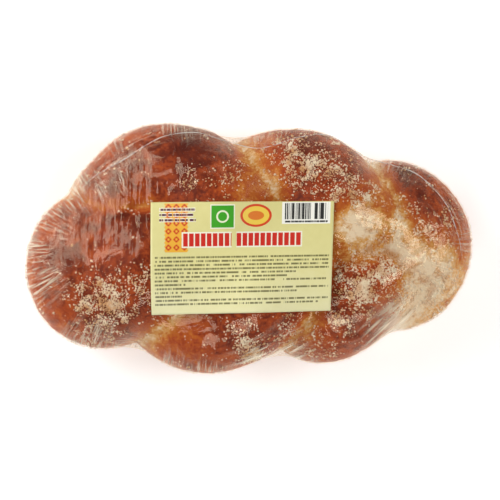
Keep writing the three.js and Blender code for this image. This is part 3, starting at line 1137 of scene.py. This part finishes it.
def film_columns(count):
    """Starts and directions of the film's rays round the loaf, evenly spaced along its sides."""
    turn = np.linspace(0, 2 * math.pi, OUTLINE_STEPS + 1)
    start = np.stack([FILM_CORE[0] * np.cos(turn), FILM_CORE[1] * np.sin(turn)], axis=1)
    ahead = np.stack([FILM_CORE[1] * np.cos(turn), FILM_CORE[0] * np.sin(turn)], axis=1)
    ahead /= np.linalg.norm(ahead, axis=1)[:, None]
    outline = start + ahead * FILM_REACH
    way = np.concatenate([[0], np.cumsum(np.linalg.norm(np.diff(outline, axis=0), axis=1))])
    places = np.arange(count) / count * way[-1]
    pick = [np.interp(places, way, column) for column in (*start.T, *ahead.T)]
    return np.stack(pick[:2], axis=1), np.stack(pick[2:], axis=1), way[-1]


def film_rays(columns, rows):
    """Ray starts and directions, row by row from the middle of the top, round the side and under."""
    start, ahead, way_round = film_columns(columns)
    top, under = round(rows * FILM_TOP_SHARE), round(rows * FILM_UNDER_SHARE)
    side = rows - top - under
    out = np.concatenate([np.arange(top) / top, np.ones(side + 1), 1 - np.arange(1, under + 1) / under])
    rise = np.concatenate([np.ones(top), np.cos(np.linspace(0, math.pi, side + 1)), -np.ones(under)])
    flat = np.sqrt(np.maximum(0, 1 - rise**2))
    starts = np.zeros((rows + 1, columns, 3))
    starts[..., :2] = out[:, None, None] * start
    starts[..., 2] = FILM_CORE[2]
    ways = np.zeros_like(starts)
    ways[..., :2] = flat[:, None, None] * ahead
    ways[..., 2] = rise[:, None]
    return starts, ways, way_round


def crust_reach(tree, starts, ways):
    """How far along each ray the outermost crust is."""
    reach = np.zeros(starts.shape[:-1])
    for place in np.ndindex(reach.shape):
        way = Vector(ways[place])
        hit = tree.ray_cast(Vector(starts[place]) + way * FAR, -way)
        if hit[3] is not None:
            reach[place] = FAR - hit[3]
    return reach


def neighbours_mean(points):
    """The mean of each place's four neighbours, nearer ones counting more; the end rows are single places."""
    before, after = np.roll(points, 1, axis=1), np.roll(points, -1, axis=1)
    mean = (before + after) / 2
    sideways = ((after - before) ** 2).sum(axis=-1, keepdims=True)
    upways = ((points[2:] - points[:-2]) ** 2).sum(axis=-1, keepdims=True)
    weight = np.clip(upways / (sideways[1:-1] + upways), 0.15, 0.85)
    mean[1:-1] = mean[1:-1] * weight + (points[:-2] + points[2:]) / 2 * (1 - weight)
    mean[0] = points[1].mean(axis=0)
    mean[-1] = points[-2].mean(axis=0)
    return mean


def pull_tight(starts, ways, least, reach, rounds):
    """Shrinks the film: each place moves along its ray to its neighbours' mean, but not into the crust."""
    for _ in range(rounds):
        points = starts + ways * reach[..., None]
        reach = np.maximum(least, ((neighbours_mean(points) - starts) * ways).sum(axis=-1))
    return reach


def film_rest(starts, ways, reach, clearance):
    """The least reach of the film: over the crust, but above the floor."""
    least = reach + clearance
    down = ways[..., 2] < -0.02
    floor_reach = (starts[..., 2] - FILM_FLOOR_GAP) / np.maximum(-ways[..., 2], 0.02)
    return np.where(down, np.minimum(least, floor_reach), least), np.where(down, floor_reach, FAR)


def perimeter_patches(share, patches):
    """How much each share of the way round lies in the patches, the most that any gives."""
    cover = np.zeros_like(share)
    for middle, width, strength in patches:
        away = np.abs((share - middle + 0.5) % 1.0 - 0.5) / width
        cover = np.maximum(cover, strength * np.exp(-(away**2)))
    return cover


def smooth_tree(thing, rounds):
    """The search tree of an object's shape without its small bumps."""
    ease = thing.modifiers.new("ease", "SMOOTH")
    ease.factor = 0.5
    ease.iterations = rounds
    graph = bpy.context.evaluated_depsgraph_get()
    eased = bpy.data.meshes.new_from_object(thing.evaluated_get(graph))
    thing.modifiers.clear()
    tree = surface_tree(eased)
    bpy.data.meshes.remove(eased)
    return tree


def shrunk_reach(tree, settings):
    """The film's rays, the way round it, how far along them it lies once shrunk, and how far it may lie."""
    rows, columns = settings.rows, settings.columns
    # The film is first pulled tight as a coarse net, then fitted closely.
    coarse = columns // COARSE_STEP
    starts, ways, _ = film_rays(coarse, rows)
    least, most = film_rest(starts, ways, crust_reach(tree, starts, ways), settings.clearance)
    reach = np.minimum(most, pull_tight(starts, ways, least, least.copy(), settings.pull))
    starts, ways, way_round = film_rays(columns, rows)
    least, most = film_rest(starts, ways, crust_reach(tree, starts, ways), settings.clearance)
    where = np.arange(columns) / COARSE_STEP
    first = np.floor(where).astype(int)
    part = where - first
    reach = reach[:, first % coarse] * (1 - part) + reach[:, (first + 1) % coarse] * part
    reach = pull_tight(starts, ways, least, np.maximum(reach, least), FINE_ROUNDS)
    return starts, ways, way_round, np.minimum(reach, most), most


def ripples(turn, radius, rise, spacing, seed=0.0):
    """Noise round the film's side, whose bumps are as wide as the spacing and drawn out up the side."""
    spots = np.stack([np.cos(turn) * radius / spacing, np.sin(turn) * radius / spacing, rise], axis=-1)
    return layered_noise(spots.reshape(-1, 3), 1.0, 2, seed).reshape(rise.shape)


def film_marks(points, ways, way_round):
    """The pleats' crests, and how puckered, streaked, slack, milky and stretched each place is."""
    shape = points.shape[:2]
    share = np.broadcast_to(np.arange(shape[1]) / shape[1], shape)
    height = np.zeros(shape)
    height[1:] = np.cumsum(np.linalg.norm(np.diff(points, axis=0), axis=-1), axis=0)
    from_girth = height[np.argmin(np.abs(ways[:, 0, 2]))] - height
    turn = share * 2 * math.pi
    radius = way_round / (2 * math.pi)
    # Pleats: crests that run up the side, 3 mm apart, each starting and stopping at its own height.
    crest = ripples(turn, radius, from_girth / PLEAT_LENGTH, PLEAT_SPACING)
    crest = np.clip(1 - np.abs(crest) * PLEAT_SHARPNESS, 0, 1) ** 1.5
    uneven = ripples(turn, radius, from_girth / PLEAT_LENGTH, 6 * PLEAT_SPACING, 9.0)
    strength = PLEAT_STRENGTH + perimeter_patches(share, PLEAT_PATCHES)
    top_end = PLEAT_TOP * (0.5 + 0.5 * strength + 0.8 * uneven)
    window = 1 - smooth_step(0.5, 1.0, from_girth / np.maximum(top_end, 2 * MM))
    window = window * smooth_step(*PLEAT_FOOT, from_girth)
    pucker = window * np.clip(strength + PLEAT_UNEVENNESS * uneven, 0, 1.3)
    near_rim = 1 - smooth_step(*STREAK_FADE, np.abs(from_girth - STREAK_HEIGHT))
    streak = perimeter_patches(share, STREAK_PATCHES) * near_rim * np.clip(1 - pucker, 0.15, 1)
    return {
        "pucker": pucker,
        "crest": crest,
        "streak": streak,
        "slack": patch_cover(points, SLACK_PATCHES),
        "mist": patch_cover(points, MILKY_PATCHES),
        "stretch": patch_cover(points, STRETCH_PATCHES),
    }


def film_mesh(points, marks):
    """A flat net carries the places; its ends are then welded to each other, and its end rows to points."""
    rows, columns = points.shape[0] - 1, points.shape[1]
    bm = bmesh.new()
    bmesh.ops.create_grid(bm, x_segments=columns, y_segments=rows, size=0.5, calc_uvs=False)
    unwrapped = bm.loops.layers.uv.new("UVMap")
    for face in bm.faces:
        for loop in face.loops:
            loop[unwrapped].uv = (loop.vert.co.x + 0.5, 0.5 - loop.vert.co.y)
    layers = [(bm.verts.layers.float.new(name), values) for name, values in marks.items()]
    for vert in bm.verts:
        row, column = round((0.5 - vert.co.y) * rows), round((vert.co.x + 0.5) * columns) % columns
        for layer, values in layers:
            vert[layer] = values[row, column]
        vert.co = points[row, column if 0 < row < rows else 0]
    edges = [vert for vert in bm.verts if vert.is_boundary]
    bmesh.ops.remove_doubles(bm, verts=edges, dist=0.01 * MM)
    bmesh.ops.recalc_face_normals(bm, faces=bm.faces)
    return finished_mesh(bm, "film")


def make_film(crust, settings):
    """The shrunk film with its pleats round the sides."""
    starts, ways, way_round, reach, most = shrunk_reach(smooth_tree(crust, CLING_ROUNDS), settings)
    marks = film_marks(starts + ways * reach[..., None], ways, way_round)
    reach = np.minimum(reach + settings.pleat_height * marks["crest"] * marks["pucker"], most)
    return new_object("film_skin", film_mesh(starts + ways * reach[..., None], marks), [film_material()])


def drop_onto(tree, along, across):
    """The highest place of a surface over a spot, or None beside it."""
    return tree.ray_cast(Vector((along, across, ABOVE)), Vector((0, 0, -1)))[0]


def make_seam(film, settings):
    """The weld: a thin bead of molten film along the seam."""
    tree = surface_tree(film.data)
    route = spline_at(SEAM_ROUTE, np.linspace(0, 1, SEAM_STEPS)) * MM
    landed = [drop_onto(tree, *spot) for spot in route]
    line = np.array([place for place in landed if place is not None]) + (0, 0, settings.seam_width * 0.2)
    stations = np.linspace(0, 1, len(line))

    def frames(shares):
        places, ways = (
            np.stack([np.interp(shares, stations, column) for column in values.T], axis=1)
            for values in (line, np.gradient(line, axis=0))
        )
        half = np.full((len(shares), 2), settings.seam_width / 2) * (1, SEAM_FLATNESS)
        return (places, *side_and_lift(ways), half)

    bm = bmesh.new()
    lay_ball(bm, 8, SEAM_STEPS, frames)
    bmesh.ops.recalc_face_normals(bm, faces=bm.faces)
    return new_object("film_weld_seam", finished_mesh(bm, "seam"), [seam_material()])


# ---------------------------------------------------------------- the label


def make_label(film, settings):
    """The paper label, laid on the film and bent gently over it."""
    tree = surface_tree(film.data)
    bm = bmesh.new()
    bmesh.ops.create_grid(bm, x_segments=LABEL_STEPS[0], y_segments=LABEL_STEPS[1], size=0.5, calc_uvs=False)
    unwrapped = bm.loops.layers.uv.new("UVMap")
    for face in bm.faces:
        for loop in face.loops:
            loop[unwrapped].uv = (loop.vert.co.x + 0.5, loop.vert.co.y + 0.5)
    order = sorted(bm.verts, key=lambda vert: (round(vert.co.y, 5), vert.co.x))
    shape = (LABEL_STEPS[1] + 1, LABEL_STEPS[0] + 1)
    share = np.array([vert.co for vert in order]).reshape(*shape, 3) + (0.5, 0.5, 0)
    across, up = share[..., :1], share[..., 1:2]
    corners = {name: np.array(place) * MM for name, place in LABEL_CORNERS.items()}
    low = corners["bottom_left"] * (1 - across) + corners["bottom_right"] * across
    high = corners["top_left"] * (1 - across) + corners["top_right"] * across
    flat = low * (1 - up) + high * up
    rest = np.zeros(shape)
    for place in np.ndindex(shape):
        rest[place] = drop_onto(tree, *flat[place]).z
    rest += settings.lift
    level = rest.copy()
    for _ in range(LABEL_ROUNDS):
        padded = np.pad(level, 1, mode="reflect", reflect_type="odd")
        mean = (padded[:-2, 1:-1] + padded[2:, 1:-1] + padded[1:-1, :-2] + padded[1:-1, 2:]) / 4
        level = np.clip(mean, rest, rest + LABEL_STANDOFF)
    for vert, place, z in zip(order, flat.reshape(-1, 2), level.ravel()):
        vert.co = (*place, z)
    bmesh.ops.recalc_face_normals(bm, faces=bm.faces)
    if sum(face.normal.z for face in bm.faces) < 0:
        bmesh.ops.reverse_faces(bm, faces=bm.faces)
    label = new_object("paper_label", finished_mesh(bm, "label"), [label_material()])
    body = label.modifiers.new("paper", "SOLIDIFY")
    body.thickness = settings.thickness
    body.offset = 1.0
    apply_modifiers(label)
    return label


# ---------------------------------------------------------------- operators


class LOAF_OT_crust(bpy.types.Operator):
    """Build the baked plait"""

    bl_idname = "loaf.crust"
    bl_label = "Loaf"

    def execute(self, context):
        piece = make_crust(context.scene.loaf_sizes, context.scene.crust_colours)
        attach(piece, "root")
        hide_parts("braided_loaf")
        return {"FINISHED"}


class LOAF_OT_crumbs(bpy.types.Operator):
    """Strew the crumb topping on the loaf"""

    bl_idname = "loaf.crumbs"
    bl_label = "Crumb topping"

    def execute(self, context):
        scene = context.scene
        for piece in strew_crumbs(scene.objects["loaf_crust"], scene.loaf_sizes, scene.crust_colours):
            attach(piece, "root")
        return {"FINISHED"}


class LOAF_OT_film(bpy.types.Operator):
    """Build the shrink film with its pleats"""

    bl_idname = "loaf.film"
    bl_label = "Shrink film"

    def execute(self, context):
        piece = make_film(context.scene.objects["loaf_crust"], context.scene.film_settings)
        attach(piece, "root")
        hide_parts("shrink_film")
        return {"FINISHED"}


class LOAF_OT_seam(bpy.types.Operator):
    """Build the film's weld seam"""

    bl_idname = "loaf.seam"
    bl_label = "Weld seam"

    def execute(self, context):
        piece = make_seam(context.scene.objects["film_skin"], context.scene.film_settings)
        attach(piece, "root")
        return {"FINISHED"}


class LOAF_OT_label(bpy.types.Operator):
    """Build the paper label"""

    bl_idname = "loaf.label"
    bl_label = "Label"

    def execute(self, context):
        piece = make_label(context.scene.objects["film_skin"], context.scene.label_settings)
        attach(piece, "root")
        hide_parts("label")
        return {"FINISHED"}


class LOAF_OT_stage(bpy.types.Operator):
    """Build the floor, the lamps and the camera"""

    bl_idname = "loaf.stage"
    bl_label = "Stage"

    def execute(self, context):
        scene = context.scene
        settings = scene.stage_settings
        bm = bmesh.new()
        bmesh.ops.create_grid(bm, x_segments=2, y_segments=2, size=FLOOR_HALF)
        new_object("floor", finished_mesh(bm, "floor"), [floor_material()], smooth=False)
        for name, place, width, height, power in LAMPS:
            lamp = bpy.data.lights.new(name, "AREA")
            lamp.shape = "RECTANGLE"
            lamp.size = width
            lamp.size_y = height
            lamp.energy = power
            holder = bpy.data.objects.new(name, lamp)
            holder.location = place
            holder.rotation_euler = (Vector(LAMP_AIM) - Vector(place)).to_track_quat("-Z", "Y").to_euler()
            scene.collection.objects.link(holder)
        scene.world = studio_tent()
        scene.view_settings.view_transform = "Standard"
        lens = bpy.data.cameras.new("camera")
        seen_level = (LOAF_BOX[0].z + LOAF_BOX[1].z) / 2 - VIEW_DROP
        lens.lens = lens.sensor_width * (settings.camera_height - seen_level) / settings.view_width
        lens.clip_start = NEAREST_SEEN
        camera = bpy.data.objects.new("camera", lens)
        camera.location = (*CAMERA_PLACE, settings.camera_height)
        scene.collection.objects.link(camera)
        scene.camera = camera
        return {"FINISHED"}


class LOAF_PT_panel(bpy.types.Panel):
    bl_idname = "LOAF_PT_panel"
    bl_label = "Braided loaf"
    bl_space_type = "VIEW_3D"
    bl_region_type = "UI"
    bl_category = "Loaf"

    def draw(self, context):
        for operator in OPERATORS:
            self.layout.operator(operator.bl_idname)


SETTINGS = {
    "loaf_sizes": LoafSettings,
    "crust_colours": CrustColours,
    "film_settings": FilmSettings,
    "label_settings": LabelSettings,
    "stage_settings": StageSettings,
}
OPERATORS = (LOAF_OT_crust, LOAF_OT_crumbs, LOAF_OT_film, LOAF_OT_seam, LOAF_OT_label, LOAF_OT_stage)
CLASSES = (*SETTINGS.values(), *OPERATORS, LOAF_PT_panel)


def register():
    for each in CLASSES:
        bpy.utils.register_class(each)
    for name, group in SETTINGS.items():
        setattr(bpy.types.Scene, name, bpy.props.PointerProperty(type=group))


def unregister():
    for name in SETTINGS:
        delattr(bpy.types.Scene, name)
    for each in reversed(CLASSES):
        bpy.utils.unregister_class(each)


def main():
    register()
    bpy.ops.loaf.stage()
    bpy.ops.loaf.crust()
    bpy.ops.loaf.crumbs()
    bpy.ops.loaf.film()
    bpy.ops.loaf.seam()
    bpy.ops.loaf.label()


if __name__ == "__main__":
    main()
